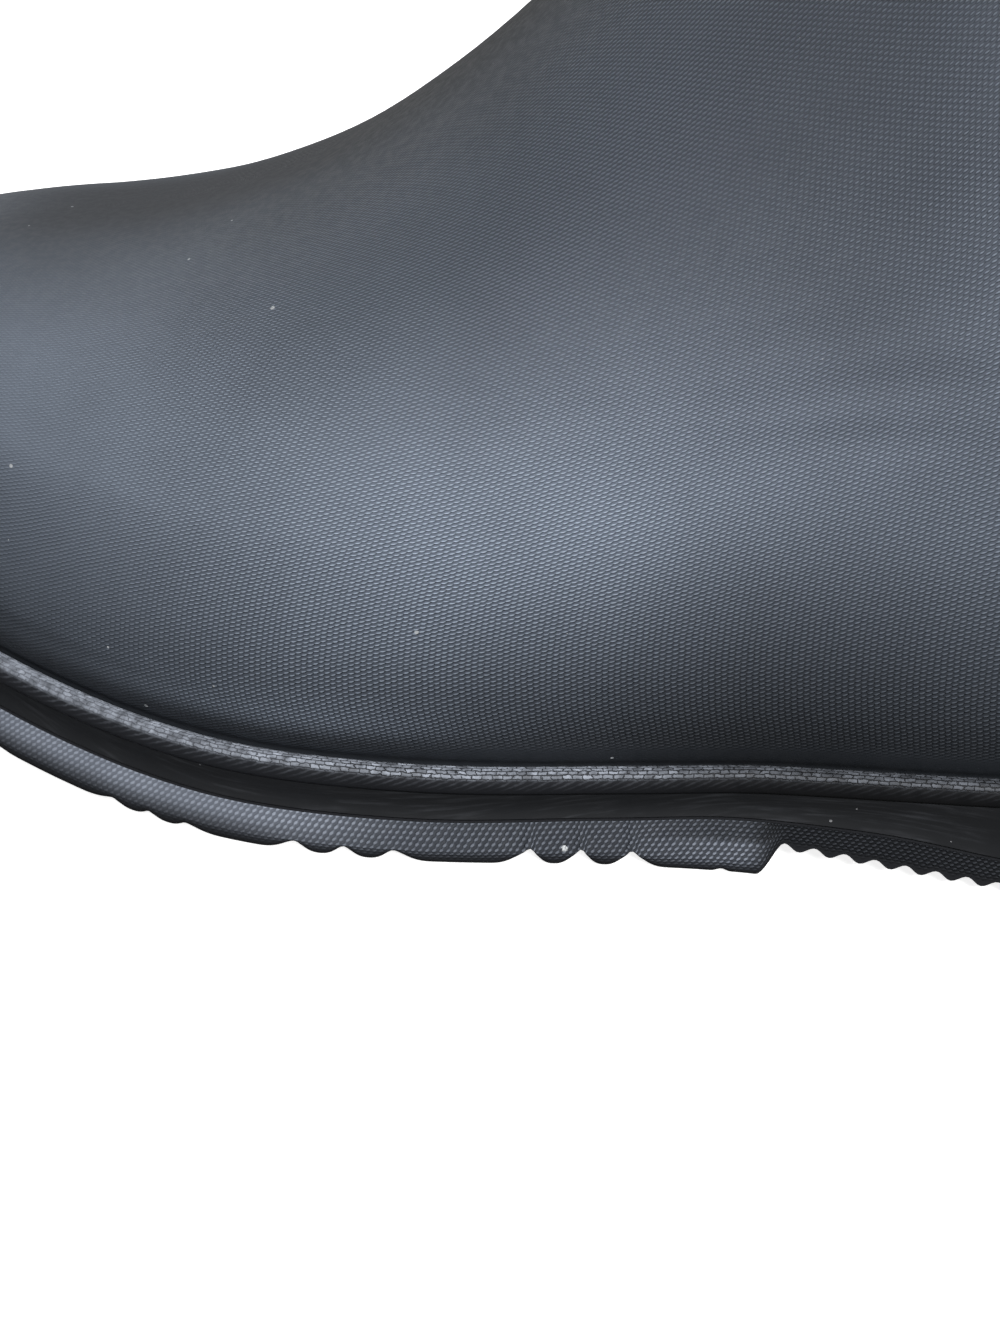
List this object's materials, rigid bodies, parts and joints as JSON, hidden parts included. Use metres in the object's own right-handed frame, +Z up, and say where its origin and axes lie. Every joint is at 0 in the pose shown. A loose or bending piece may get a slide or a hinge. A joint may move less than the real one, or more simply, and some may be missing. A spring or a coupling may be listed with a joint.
{
  "type": "winter ankle boot",
  "caption": "Moulded pull-on ankle boot for the left foot with a fine woven emboss, a knurled welt, a recessed midsole wedge and a lugged outsole; it stands empty on its sole.",
  "frame": {"origin": "on the floor under the middle of the sole's length and width", "axes": "+X from toe to heel, +Z up, so the outer side of the foot is at -Y and the inner side at +Y"},
  "size_m": [0.293, 0.106, 0.172],
  "materials": {
    "upper_rubber": "matte, fine woven emboss",
    "welt_rubber": "matte, knurled dashes",
    "midsole_rubber": "smooth matte",
    "outsole_rubber": "matte, fine emboss",
    "insole_fabric": "napped"
  },
  "bodies": {
    "root": {"upper": "upper_rubber", "welt": "welt_rubber", "midsole": "midsole_rubber", "outsole": "outsole_rubber", "insole": "insole_fabric"}
  },
  "joints": []
}
